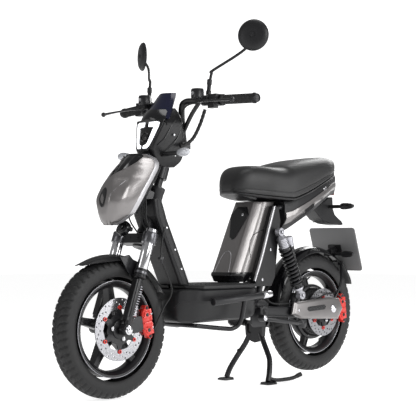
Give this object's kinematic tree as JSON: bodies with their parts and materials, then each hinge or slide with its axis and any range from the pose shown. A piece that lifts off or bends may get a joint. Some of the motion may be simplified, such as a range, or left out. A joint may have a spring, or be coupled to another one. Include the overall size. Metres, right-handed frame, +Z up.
{
  "type": "electric moped",
  "caption": "Step-through electric moped: spoked cast wheels, telescopic fork, flat floor, battery tower, long stepped seat, rear shocks; stands on its centre stand.",
  "frame": {"origin": "on the floor under the middle of the bounding box", "axes": "+X forward along the vehicle, +Y to the rider's left, +Z up"},
  "size_m": [1.476, 0.691, 1.256],
  "materials": {
    "painted_grey": "satin",
    "black_plastic": "matt",
    "black_metal": "satin",
    "silver": "satin",
    "steel": "brushed",
    "rubber": "matt",
    "tyre": "matt",
    "seat_cover": "matt",
    "caliper_red": "gloss",
    "screen_tint": "gloss",
    "lamp": "gloss",
    "rear_lens": "gloss",
    "indicator": "gloss",
    "plate": "matt",
    "battery": "matt"
  },
  "bodies": {
    "frame": {"main_frame": "black_metal", "leg_shield": "black_plastic", "front_cowl": "painted_grey", "cowl_backing": "black_plastic", "floor_board": "rubber", "belly_cover": "black_plastic", "foot_rails": "black_metal", "battery_cover": "painted_grey", "battery_pack": "battery", "seat_tube_cover": "black_plastic", "tail_fairing": "painted_grey", "tail_light": "rear_lens", "tail_undertray": "black_plastic", "rear_indicators": "indicator", "number_plate": "plate", "plate_bracket": "black_plastic", "swing_arm": "black_metal", "swing_arm_cover": "painted_grey", "rear_shock_left": "black_metal", "rear_shock_right": "black_metal", "rear_caliper": "caliper_red", "rear_mudguard": "black_plastic"},
    "steering": {"fork_leg_left": "silver", "fork_leg_right": "silver", "front_axle": "steel", "fork_crown": "black_metal", "front_mudguard": "black_plastic", "front_caliper": "caliper_red", "brake_hose": "rubber", "handlebar": "black_metal", "grip_left": "rubber", "grip_right": "rubber", "brake_lever_left": "black_metal", "brake_lever_right": "black_metal", "mirror_left": "black_plastic", "mirror_right": "black_plastic", "headlight": "lamp", "front_indicators": "indicator", "nacelle": "black_plastic", "windscreen": "screen_tint", "wiring_conduit": "rubber", "horn": "black_metal"},
    "front_wheel": {"front_tyre": "tyre", "front_rim": "black_metal", "front_disc": "steel"},
    "rear_wheel": {"rear_tyre": "tyre", "rear_rim": "black_metal", "rear_hub_motor": "black_metal", "rear_disc": "steel"},
    "centre_stand": {"centre_stand": "black_metal"},
    "side_stand": {"side_stand": "black_metal"},
    "seat": {"seat_cushion": "seat_cover", "seat_base": "black_plastic"}
  },
  "joints": [
    {"name": "steering", "type": "hinge", "parent": "frame", "child": "steering", "pos_m": [0.47279, 0, 0.21415], "axis": [-0.3338, 0, 0.9426], "range_deg": [-40, 40]},
    {"name": "front_wheel_spin", "type": "hinge", "parent": "steering", "child": "front_wheel", "pos_m": [0.5105, 0, 0.2275], "axis": [0, 1, 0], "continuous": true},
    {"name": "rear_wheel_spin", "type": "hinge", "parent": "frame", "child": "rear_wheel", "pos_m": [-0.5105, 0, 0.2435], "axis": [0, 1, 0], "continuous": true},
    {"name": "centre_stand_pivot", "type": "hinge", "parent": "frame", "child": "centre_stand", "pos_m": [-0.195, 0, 0.212], "axis": [0, 1, 0], "range_deg": [0, 75]},
    {"name": "side_stand_pivot", "type": "hinge", "parent": "frame", "child": "side_stand", "pos_m": [-0.098, 0.125, 0.241], "axis": [0.25, -0.9682, 0], "range_deg": [0, 100]},
    {"name": "seat_hinge", "type": "hinge", "parent": "frame", "child": "seat", "pos_m": [-0.1383, 0, 0.667], "axis": [0, 1, 0], "range_deg": [0, 33]}
  ]
}
